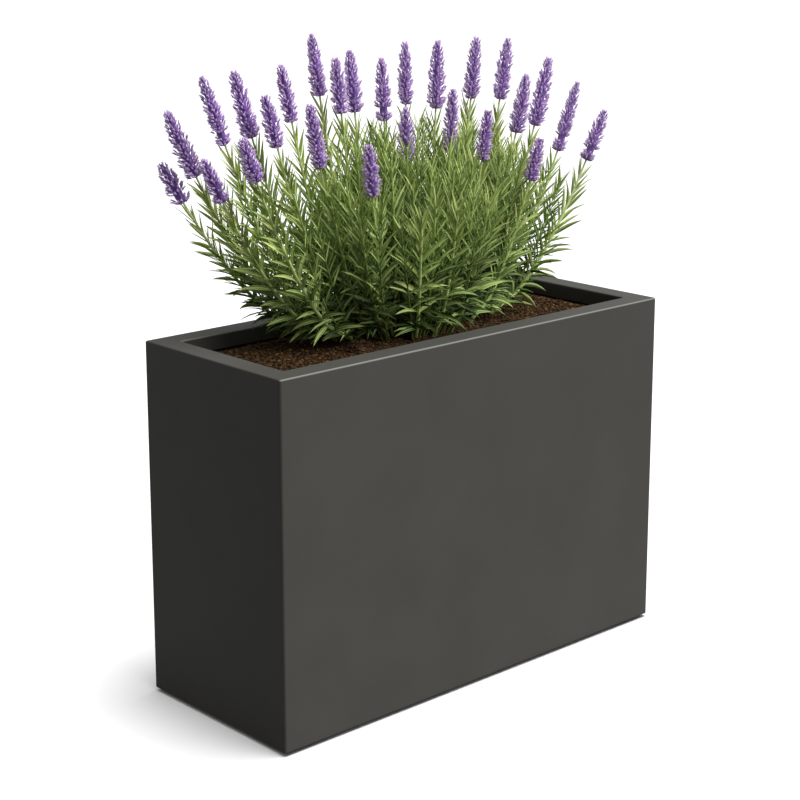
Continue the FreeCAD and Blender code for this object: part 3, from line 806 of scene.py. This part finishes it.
class Shoot:
    """A leafy stem's line, whether it is a leading one, and the way that its leaf pairs face."""

    def __init__(self, draw, line, leafy, foot, leading):
        self.draw = draw
        self.line = line
        self.leafy = leafy
        self.leading = leading
        place = in_clump(foot)
        self.inward = -unit(place + np.array(MIDDLE_NUDGE))
        facing = np.array(toward(draw.gauss(LEAF_FACING, LEAF_FACING_SCATTER), 0.0))
        self.facing = -facing if facing @ place < -BACK_SHARE else facing

    def main_leaves(self, pile, stop):
        """The leaves of the stem itself."""
        if self.leading:
            self.leaves(pile, BROAD_LEAF, LEADER_SHADES, self.line, stop)
        else:
            self.leaves(pile, NARROW_LEAF, FILLER_SHADES, self.line, stop, wider=FILLER_LEAF_WIDTH)

    def leaves(self, pile, form, shades, line, stop, longer=1.0, wider=1.0, darker=0.0):
        """Opposite pairs of leaves along a line, swung to and fro about the plane that the shoot faces."""
        draw = self.draw
        swing = draw.choice((-1, 1)) * math.radians(LEAF_SWING)
        distance = LEAF_START * draw.uniform(*LEAF_START_RANGE)
        while distance < stop:
            share = distance / stop
            axil = Axil(line, distance, self.facing)
            length, width, angle, bend, sag, step = (
                np.interp(share, LEAF_SHARES, values)
                for values in (LEAF_LENGTHS, LEAF_WIDTHS, LEAF_ANGLES, LEAF_BENDS, LEAF_SAGS, LEAF_STEPS)
            )
            for side in (swing, swing + math.pi):
                own = draw.gauss(1.0, LEAF_SCATTER)
                size = (own * longer * length, own * wider * width)
                # Painted shade by the leaf's height on its shoot, with a scatter of the leaf's own tone
                tone = np.interp(share, SHADE_SHARES, shades) + draw.gauss(0, SHADE_SCATTER) - darker
                turn = side + draw.gauss(0, LEAF_TURN)
                self.leaf(pile, form, axil, turn, size, (angle, bend, sag), tone)
                if draw.random() < AXIL_CHANCE:
                    self.axil_leaf(pile, axil, turn, size, bend, tone)
            swing = -swing
            distance += step * scattered(draw, LEAF_STEP_SCATTER)

    def leaf(self, pile, form, axil, turn, size, posture, tone):
        """One leaf, by its length and width and by its angle, bend and sag, with its blade twisted ahead."""
        draw = self.draw
        angle, bend, sag = posture
        out = unit(axil.out(turn) - np.array([0.0, 0.0, sag * draw.uniform(*LEAF_SAG_RANGE)]))
        lean = angle * draw.gauss(1.0, LEAF_ANGLE_SCATTER)
        arch = bend * draw.uniform(*LEAF_BEND_RANGE) + draw.gauss(0, LEAF_BEND_SCATTER)
        lean, arch = off_the_soil(axil.foot, axil.way, out, size[0], lean, arch)
        twist = math.radians(LEAF_TWIST) * (np.cross(axil.way, out) @ axil.ahead)
        roll = draw.gauss(0, LEAF_ROLL) - twist
        form.grow(pile, axil.foot, axil.way, out, *size, lean, arch, roll, tone)

    def axil_leaf(self, pile, axil, turn, size, bend, tone):
        """One small leaf in the axil of a large one."""
        out = axil.out(turn + self.draw.gauss(0, AXIL_TURN))
        lean = AXIL_ANGLE * scattered(self.draw, AXIL_ANGLE_SCATTER)
        small = (AXIL_SIZE * size[0], AXIL_SIZE * size[1])
        arch = bend / AXIL_STRAIGHTER
        NARROW_LEAF.grow(pile, axil.foot, axil.way, out, *small, lean, arch, 0.0, tone - AXIL_DARKER)

    def slighter_shoots(self, leaves, stems, count):
        """Slighter shoots that rise on the stem's inner side and lean away from it."""
        draw = self.draw
        beside_way = np.array([self.inward[1], -self.inward[0], 0.0])
        for k in range(count):
            turn = math.radians(BESIDE_FAN * (k - (count - 1) / 2) + draw.gauss(0, BESIDE_FAN_SCATTER))
            out = math.cos(turn) * self.inward + math.sin(turn) * beside_way
            reach = self.leafy * draw.uniform(*BESIDE_REACH)
            lean = draw.uniform(*BESIDE_LEAN)
            distances = np.linspace(0.0, reach, BESIDE_POINTS)
            points = np.array([self.line.at(d) + out * (BESIDE_START + lean * d) for d in distances])
            points[0, 2] = SOIL_TOP
            line = Line(points)
            rings = ring_count(line)
            radii = np.linspace(*BESIDE_RADIUS, rings)
            stems.tube(line, radii, BESIDE_SIDES, np.linspace(0.0, BESIDE_STEM_SHADE, rings))
            sizes = (BESIDE_LEAF_LENGTH, BESIDE_LEAF_WIDTH)
            self.leaves(leaves, NARROW_LEAF, FILLER_SHADES, line, line.length, *sizes, BESIDE_DARKER)


def floret_template():
    """One floret along +Z at unit length: a calyx, and petals at its mouth."""
    sides = CALYX_SIDES
    points = []
    grades = []
    for height, radius, grade in CALYX_RINGS:
        for k in range(sides):
            turn = 2 * math.pi * k / sides
            points.append((radius * math.cos(turn), radius * math.sin(turn), height))
            grades.append(grade)
    faces = [tuple(reversed(range(sides)))] + bands(sides, len(CALYX_RINGS))
    faces.append(tuple(range(len(points) - sides, len(points))))
    spacing = 2 * math.pi / PETAL_COUNT
    for petal in range(PETAL_COUNT):
        middle = spacing / 2 + petal * spacing
        a, b, c, tip = range(len(points), len(points) + len(PETAL_CORNERS))
        faces += [(a, b, tip), (b, c, tip), (c, a, tip), (a, c, b)]
        for turn, reach, height, grade in PETAL_CORNERS:
            points.append((reach * math.cos(middle + turn), reach * math.sin(middle + turn), height))
            grades.append(grade)
    return np.array(points), faces, np.array(grades)


FLORET_POINTS, FLORET_FACES, FLORET_GRADES = floret_template()


def add_floret(pile, draw, centre, way, turn, reach, lean, length):
    """One floret that leans out from a spike's line and ends at about the reach."""
    out = across(way, turn)
    own_lean = lean * scattered(draw, FLORET_LEAN_SCATTER)
    up = math.cos(own_lean) * way + math.sin(own_lean) * out
    side = np.cross(way, out)
    own_length = length * scattered(draw, FLORET_LENGTH_SCATTER)
    own_reach = reach * scattered(draw, FLORET_REACH_SCATTER)
    root = max(SPIKE_ROOT, own_reach - own_length * math.sin(own_lean))
    width = FLORET_WIDTH / 2 * scattered(draw, FLORET_LENGTH_SCATTER)
    turned = FLORET_POINTS * (width, width, own_length)
    points = centre + root * out + turned @ np.array([side, np.cross(up, side), up])
    shades = draw.random() + FLORET_LIP_LIGHTER * FLORET_GRADES
    pile.add(points, FLORET_FACES, shades, FLORET_GRADES)


def flower_spike(pile, draw, line):
    """Florets in whorls round a spike's line, longest low down, with a pointed tuft on top."""
    fat = draw.uniform(*SPIKE_FATNESS)
    phase = draw.uniform(0, 2 * math.pi)
    loose = draw.random() < LOOSE_WHORL_CHANCE
    core = SPIKE_CORE * fat * np.interp(np.linspace(0, CORE_STOP, CORE_RINGS), SPIKE_SHARES, SPIKE_REACH)
    shades = np.linspace(*CORE_SHADES, CORE_RINGS)
    pile.tube(line, core, CORE_SIDES, shades, line.length * CORE_STOP, palest=CORE_PALEST)
    distance = 0.0
    turn = draw.uniform(0, 2 * math.pi)
    while distance < line.length - SPIKE_TIP:
        share = distance / (line.length - SPIKE_TIP)
        if loose and LOOSE_WHORL_FROM < share < LOOSE_WHORL_TO:
            distance += FLORET_PITCH
            continue
        centre = line.at(distance)
        way = line.way(distance)
        lump = 1 + WHORL_DEPTH * math.cos(2 * math.pi * distance / WHORL_PITCH + phase)
        reach = np.interp(share, SPIKE_SHARES, SPIKE_REACH) * fat * lump
        lean = math.radians(np.interp(share, FLORET_SHARES, FLORET_LEANS))
        length = np.interp(share, FLORET_SHARES, FLORET_LENGTHS)
        count = max(FLORETS_LEAST, round(FLORETS_ROUND * (1 - FLORETS_FEWER * share)))
        for k in range(count):
            own_turn = turn + 2 * math.pi * k / count + draw.gauss(0, FLORET_TURN)
            add_floret(pile, draw, centre, way, own_turn, reach, lean, length)
        turn += math.pi / count + draw.gauss(0, FLORET_RING_TURN)
        distance += FLORET_PITCH * scattered(draw, FLORET_PITCH_SCATTER)


def lavender(plant, finishes):
    """One plant: stems with their leaves and slighter shoots, and flower spikes."""
    draw = random.Random("lavender " + plant)
    leaves = Pile()
    stems = Pile()
    florets = Pile()
    shoots = solid_axes("leafy_shoots_" + plant)
    tops = solid_axes("flower_stems_" + plant)
    spikes = solid_axes("flower_spikes_" + plant)
    leaders = leading_feet(shoots, [axis[0] for axis in shoots if starting_at(axis[-1], tops)])
    for axis in shoots:
        ground = Vector((axis[0].x * STEM_DRAWN_IN[0], axis[0].y * STEM_DRAWN_IN[1], SOIL_TOP))
        bare = starting_at(axis[-1], tops)
        line = Line([ground] + axis + ([bare[-1]] if bare else []))
        leafy = Line([ground] + axis).length
        shoot = Shoot(draw, line, leafy, axis[0], axis[0] in leaders)
        rings = ring_count(line)
        fullness = min(1.0, STEM_SLIGHTEST + (1 - STEM_SLIGHTEST) * line.length / STEM_FULL_LENGTH)
        radii = np.linspace(*STEM_RADIUS, rings) * fullness
        # Painted shade: stems between the leading shoots stay dark along their length
        top_shade = LEADER_STEM_SHADE if shoot.leading else FILLER_STEM_SHADE
        stems.tube(line, radii, STEM_SIDES, np.linspace(0.0, top_shade, rings))
        shoot.main_leaves(leaves, leafy + (LEAF_RUN_ON if bare else 0.0))
        shoot.slighter_shoots(leaves, stems, BESIDE_STALK_COUNT if bare else BESIDE_COUNT)
        if bare:
            flower_spike(florets, draw, Line(starting_at(bare[-1], spikes)))
    leaves.piece("lavender_leaves_" + plant, finishes["leaf"], "leaf", "leafy_shoots_" + plant)
    stems.piece("lavender_stems_" + plant, finishes["stem"], "stem", "flower_stems_" + plant)
    florets.piece("lavender_florets_" + plant, finishes["floret"], "floret", "flower_spikes_" + plant)


def crown_points(low, high, draw):
    """Grid of points over a crown's box, raised at knots and falling off at the rim."""
    knots = []
    for _ in range(KNOT_COUNT):
        knots.append((draw.uniform(low.x, high.x), draw.uniform(low.y, high.y), draw.uniform(*KNOT_HEIGHTS)))
    points = []
    for row in range(CROWN_ROWS + 1):
        for column in range(CROWN_COLUMNS + 1):
            x = low.x + (high.x - low.x) * column / CROWN_COLUMNS
            y = low.y + (high.y - low.y) * row / CROWN_ROWS
            outward = max(abs(2 * column / CROWN_COLUMNS - 1), abs(2 * row / CROWN_ROWS - 1))
            rim = 1 - outward ** CROWN_RIM_POWER
            near = 0
            for knot_x, knot_y, tall in knots:
                near += tall * math.exp(-((x - knot_x) ** 2 + (y - knot_y) ** 2) / KNOT_SPREAD)
            uneven = min(1.0, CROWN_LOWEST + (1 - CROWN_LOWEST) * near)
            points.append((x, y, low.z + (high.z - low.z) * rim * uneven))
    return points


def gnarled_crown(plant, finish):
    """Low woody crown with a knotted upper side."""
    low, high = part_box("woody_crown_" + plant)
    points = crown_points(low, high, random.Random("crown " + plant))
    faces = []
    for row in range(CROWN_ROWS):
        for column in range(CROWN_COLUMNS):
            start = row * (CROWN_COLUMNS + 1) + column
            above = start + CROWN_COLUMNS + 1
            faces.append((start, start + 1, above + 1, above))
    mesh = bpy.data.meshes.new("lavender_crown_" + plant)
    mesh.from_pydata(points, [], faces)
    shell = bmesh.new()
    shell.from_mesh(mesh)
    border = [edge for edge in shell.edges if edge.is_boundary]
    bmesh.ops.contextual_create(shell, geom=border)
    bmesh.ops.recalc_face_normals(shell, faces=shell.faces)
    shell.to_mesh(mesh)
    shell.free()
    smoothed(mesh, CROWN_SHARP)
    return dressed(mesh, finish, "bark", "woody_crown_" + plant)


# Soil and fleece

def surface(piece):
    """A piece's faces, ready for finding where a line meets them."""
    mesh = piece.data
    corners = [piece.matrix_world @ vertex.co for vertex in mesh.vertices]
    return BVHTree.FromPolygons(corners, [polygon.vertices for polygon in mesh.polygons])


def add_crumb(pile, draw, corners, faces, x, y, beds):
    """One crumb, made from the corners and faces of a ball, on the highest of the beds at a place."""
    radius = draw.uniform(*CRUMB_RADIUS)
    hits = [bed.ray_cast(Vector((x, y, SHELL_HIGH.z)), Vector((0, 0, -1)))[0] for bed in beds]
    level = max(hit.z for hit in hits if hit)
    rough = np.array([draw.uniform(*CRUMB_UNEVENNESS) for corner in corners])[:, None]
    turn = draw.uniform(0, 2 * math.pi)
    cosine = math.cos(turn)
    sine = math.sin(turn)
    turned = corners @ np.array([[cosine, sine, 0], [-sine, cosine, 0], [0, 0, 1]])
    lump = turned * rough * radius * (1.0, draw.uniform(*CRUMB_DEPTH), draw.uniform(*CRUMB_HEIGHT))
    lift = radius * draw.uniform(*CRUMB_LIFT)
    # Painted light: the crumb's top is lighter, on top of its own differing shade
    shades = draw.betavariate(*CRUMB_SHADES) + CRUMB_TOP_LIGHTER * corners[:, 2]
    pile.add(lump + np.array([x, y, level + lift]), faces, shades, (corners[:, 2] + 1) / 2)


def soil_crumbs(finish, crowns):
    """Loose crumbs that lie over the whole surface of the soil and over the crowns in it."""
    draw = random.Random("soil crumbs")
    beds = [surface(piece) for piece in (frame["nodes"]["potting_soil"], *crowns)]
    reach_x = SHELL_HIGH.x - RIM_WIDTH - MOUTH_MARGIN
    reach_y = SHELL_HIGH.y - RIM_WIDTH - MOUTH_MARGIN
    ball = bmesh.new()
    bmesh.ops.create_icosphere(ball, subdivisions=1, radius=1.0)
    corners = np.array([vertex.co for vertex in ball.verts])
    faces = [tuple(vertex.index for vertex in face.verts) for face in ball.faces]
    ball.free()
    pile = Pile()
    for column in range(int(2 * reach_x / CRUMB_SPACING)):
        for row in range(int(2 * reach_y / CRUMB_SPACING)):
            x = -reach_x + (column + draw.random()) * CRUMB_SPACING
            y = -reach_y + (row + draw.random()) * CRUMB_SPACING
            add_crumb(pile, draw, corners, faces, x, y, beds)
    return pile.piece("soil_crumbs", finish, "soil")


def rounded_ring(half_x, half_y, radius, count):
    """Points in even steps round a rectangle with round corners, each with its outward direction."""
    straight_x = 2 * (half_x - radius)
    straight_y = 2 * (half_y - radius)
    arc = math.pi * radius / 2
    side_starts = [
        (half_x, radius - half_y),
        (half_x - radius, half_y),
        (-half_x, half_y - radius),
        (radius - half_x, -half_y),
    ]
    ring = []
    for step in np.linspace(0, 2 * (straight_x + straight_y) + 4 * arc, count, endpoint=False):
        for side, straight in enumerate((straight_y, straight_x, straight_y, straight_x)):
            turn = side * math.pi / 2
            ahead = np.array([-math.sin(turn), math.cos(turn)])
            out = np.array([math.cos(turn), math.sin(turn)])
            start = np.array(side_starts[side])
            if step <= straight:
                ring.append((start + step * ahead, out))
                break
            step -= straight
            if step <= arc:
                bend = turn + step / radius
                direction = np.array([math.cos(bend), math.sin(bend)])
                ring.append((start + straight * ahead - radius * out + radius * direction, direction))
                break
            step -= arc
    return ring


def fleece_rows(sheet, low, high):
    """Rings of points from near the middle of the bed out to the walls, round the bend and up the walls."""
    draw = random.Random("fleece")
    ring = rounded_ring(high.x - FLEECE_THICKNESS, high.y - FLEECE_THICKNESS, FLEECE_CORNER, FLEECE_POINTS)
    waves = [(draw.randint(*FLEECE_WAVE_COUNTS), draw.uniform(0, 2 * math.pi)) for k in range(FLEECE_WAVES)]
    bottom = low.z + FLEECE_THICKNESS
    rows = []
    for share in FLEECE_BED_SHARES:
        rows.append([sheet.verts.new((*(share * point), bottom)) for point, out in ring])
    for quarter in np.linspace(0, math.pi / 2, FLEECE_BEND_ROWS):
        inward = FLEECE_BEND * (1 - math.sin(quarter))
        rise = FLEECE_BEND * (1 - math.cos(quarter))
        rows.append([sheet.verts.new((*(point - inward * out), bottom + rise)) for point, out in ring])
    for share in FLEECE_WALL_SHARES:
        row = []
        for k, (point, out) in enumerate(ring):
            turn = 2 * math.pi * k / len(ring)
            wave = sum(math.sin(count * turn + phase) for count, phase in waves) / len(waves)
            inward = FLEECE_WAVE * share * (1 + wave)
            top = high.z - FLEECE_EDGE_DROP * (0.5 + 0.5 * wave)
            height = bottom + FLEECE_BEND + share * (top - bottom - FLEECE_BEND)
            row.append(sheet.verts.new((*(point - inward * out), height)))
        rows.append(row)
    return rows


def filter_fleece(finish):
    """Fleece laid on the clay pellets, its border turned up along the walls in soft waves."""
    low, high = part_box("filter_fleece")
    sheet = bmesh.new()
    centre = sheet.verts.new((0.0, 0.0, low.z + FLEECE_THICKNESS))
    rows = fleece_rows(sheet, low, high)
    points_round = len(rows[0])
    for k in range(points_round):
        after = (k + 1) % points_round
        sheet.faces.new((centre, rows[0][k], rows[0][after]))
        for inner, outer in zip(rows, rows[1:]):
            sheet.faces.new((inner[k], outer[k], outer[after], inner[after]))
    bmesh.ops.recalc_face_normals(sheet, faces=sheet.faces)
    bmesh.ops.solidify(sheet, geom=sheet.faces[:], thickness=FLEECE_THICKNESS)
    mesh = bpy.data.meshes.new("fleece_sheet")
    sheet.to_mesh(mesh)
    sheet.free()
    smoothed(mesh, FLEECE_SHARP)
    piece = dressed(mesh, finish, "fleece", "filter_fleece")


# Stage, light and camera

def sun(name, azimuth, elevation, strength, softness, ground, on_ground, shines=True):
    """Soft distant light for the ground alone, or for everything else, which the ground then lets by."""
    data = bpy.data.lights.new(name, "SUN")
    data.energy = strength
    data.angle = math.radians(softness)
    light = placed(name, data)
    light.rotation_euler = toward(azimuth, elevation).to_track_quat("Z", "Y").to_euler()
    light.visible_glossy = shines
    lit = bpy.data.collections.new(name + " light")
    lit.objects.link(ground)
    lit.collection_objects[0].light_linking.link_state = "INCLUDE" if on_ground else "EXCLUDE"
    light.light_linking.receiver_collection = lit
    if not on_ground:
        light.light_linking.blocker_collection = lit


def seen_directly(tree):
    """1 for rays from the camera, off shine or through glass, and 0 for light that falls on things."""
    path = tree.nodes.new("ShaderNodeLightPath")
    total = path.outputs["Is Camera Ray"]
    for name in ("Is Glossy Ray", "Is Transmission Ray"):
        join = tree.nodes.new("ShaderNodeMath")
        join.operation = "MAXIMUM"
        tree.links.new(total, join.inputs[0])
        tree.links.new(path.outputs[name], join.inputs[1])
        total = join.outputs["Value"]
    return total


def sky():
    """White where it is seen, and an even soft light elsewhere."""
    world = bpy.data.worlds.new("sky")
    world.use_nodes = True
    tree = world.node_tree
    strength = tree.nodes.new("ShaderNodeMapRange")
    strength.inputs["To Min"].default_value = SKY_STRENGTH
    tree.links.new(seen_directly(tree), strength.inputs["Value"])
    background = tree.nodes["Background"]
    background.inputs["Color"].default_value = (1.0, 1.0, 1.0, 1.0)
    tree.links.new(strength.outputs["Result"], background.inputs["Strength"])
    bpy.context.scene.world = world


def floor():
    """Wide pale floor that shows white, keeps shadows and can be seen through from below."""
    mesh = bpy.data.meshes.new("floor")
    reach = FLOOR_REACH
    corners = [(-reach, -reach), (reach, -reach), (reach, reach), (-reach, reach)]
    mesh.from_pydata([(x, y, cad_box[0].z) for x, y in corners], [], [(0, 1, 2, 3)])
    piece = placed("floor", mesh)
    pale = Finish("floor")
    shown = seen_directly(pale.tree)
    grey = pale.add("MapRange", {"Value": shown, "To Min": FLOOR_BOUNCE, "To Max": FLOOR_SHOWN})
    matte = pale.add("BsdfDiffuse", {"Color": grey.outputs["Result"]})
    clear = pale.add("BsdfTransparent")
    pick = pale.add("MixShader", {"Fac": pale.add("NewGeometry").outputs["Backfacing"]})
    pale.put(pick.inputs[1], matte.outputs["BSDF"])
    pale.put(pick.inputs[2], clear.outputs["BSDF"])
    pale.put(pale.tree.nodes["Material Output"].inputs["Surface"], pick.outputs["Shader"])
    pale.tree.nodes.remove(pale.shader)
    mesh.materials.append(pale.material)
    return piece


def camera():
    """Camera at the photograph's place and angle."""
    data = bpy.data.cameras.new("camera")
    data.lens = CAMERA_LENS
    data.sensor_width = CAMERA_SENSOR
    data.shift_y = CAMERA_SHIFT
    data.clip_end = 2 * FLOOR_REACH
    eye = placed("camera", data)
    eye.location = CAMERA_PLACE
    eye.rotation_euler = toward(*CAMERA_SIDE).to_track_quat("Z", "Y").to_euler()
    bpy.context.scene.camera = eye


# The whole scene

finishes = {
    "polyester": polyester(),
    "plywood": plywood_finish(),
    "moulded_nylon": moulded_finish("moulded_nylon", srgb(34, 34, 36), srgb(46, 46, 48), (0.44, 0.56)),
    "rubber": moulded_finish("rubber", srgb(22, 22, 23), srgb(34, 34, 35), (0.69, 0.81)),
    "screw_steel": grained_finish(
        "screw_steel", (300.0, 300.0, 2600.0), 3.0, [(0.3, srgb(150, 152, 156)), (0.7, srgb(190, 192, 194))],
        rough=(0.28, 0.42), relief=(0.1, 0.0002), Metallic=1.0,
    ),
    "clay_pellets": clay_finish(),
    "fleece": grained_finish(
        "fleece", (500.0, 160.0, 500.0), 5.0, [(0.3, srgb(188, 188, 182)), (0.7, srgb(222, 222, 218))],
        rough=(0.85, 0.95), relief=(0.5, 0.0008), Sheen_Weight=0.2,
    ),
    "soil": soil_finish(),
    "root_soil": grained_finish(
        "root_soil", (160.0, 160.0, 36.0), 5.0,
        [(0.3, srgb(46, 30, 20)), (0.6, srgb(84, 60, 42)), (0.72, srgb(168, 146, 112))],
        rough=(0.8, 0.95), relief=(0.6, 0.002), shine=0.1,
    ),
    "bark": grained_finish(
        "bark", (320.0, 320.0, 90.0), 4.0,
        [(0.3, srgb(28, 20, 12)), (0.55, srgb(46, 34, 22)), (0.75, srgb(74, 58, 40))],
        rough=(0.75, 0.92), relief=(0.7, 0.002), shine=0.05,
    ),
    "leaf": leaf_finish(),
    "stem": stem_finish(),
    "floret": floret_finish(),
}
for part in frame["record"]["subparts"]:
    materials = frame["nodes"][part["node"]].data.materials
    materials.clear()
    materials.append(finishes[part["material_slot"]])

for plant_name in PLANTS:
    lavender(plant_name, finishes)
soil_crumbs(finishes["soil"], [gnarled_crown(plant_name, finishes["bark"]) for plant_name in PLANTS])
filter_fleece(finishes["fleece"])

sky()
ground = floor()
sun("key", *KEY_SUN, ground, on_ground=False)
sun("fill", *FILL_SUN, ground, on_ground=False, shines=False)
sun("floor sun", *FLOOR_SUN, ground, on_ground=True)
sun("floor dome", *FLOOR_DOME, ground, on_ground=True)
camera()
bpy.context.scene.view_settings.view_transform = "Standard"
